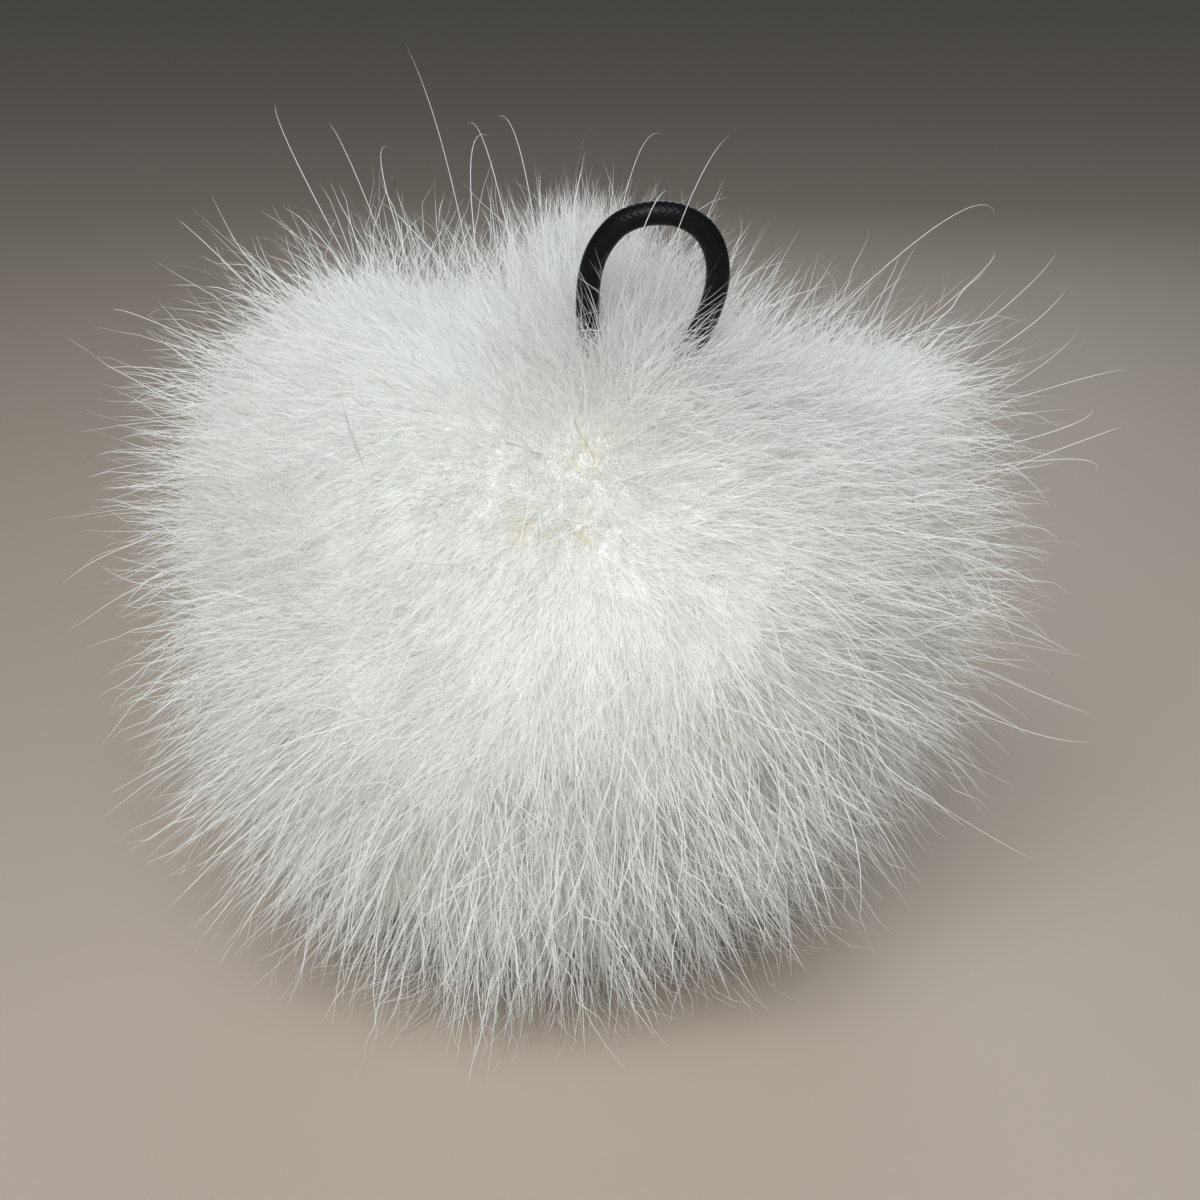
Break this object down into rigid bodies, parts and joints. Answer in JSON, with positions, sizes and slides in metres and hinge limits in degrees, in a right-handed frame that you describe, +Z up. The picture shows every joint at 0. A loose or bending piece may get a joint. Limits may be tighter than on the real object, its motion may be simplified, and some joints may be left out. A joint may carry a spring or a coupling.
{
  "type": "fur pom-pom",
  "caption": "Round white long-haired fur pom-pom with a loop of black elastic cord, for a hat, a bag or a key ring.",
  "frame": {"origin": "middle of the flat spot that the ball rests on", "axes": "+Z up, +X to the right and -Y to the front, where the loop leans out of the top of the ball"},
  "size_m": [0.1332, 0.1272, 0.1157],
  "materials": {
    "white_fur": "long soft hair with glossy guard hairs",
    "elastic_cord": "fine round braid over elastic"
  },
  "bodies": {
    "root": {"fur_ball": "white_fur", "elastic_loop": "elastic_cord"}
  },
  "joints": []
}
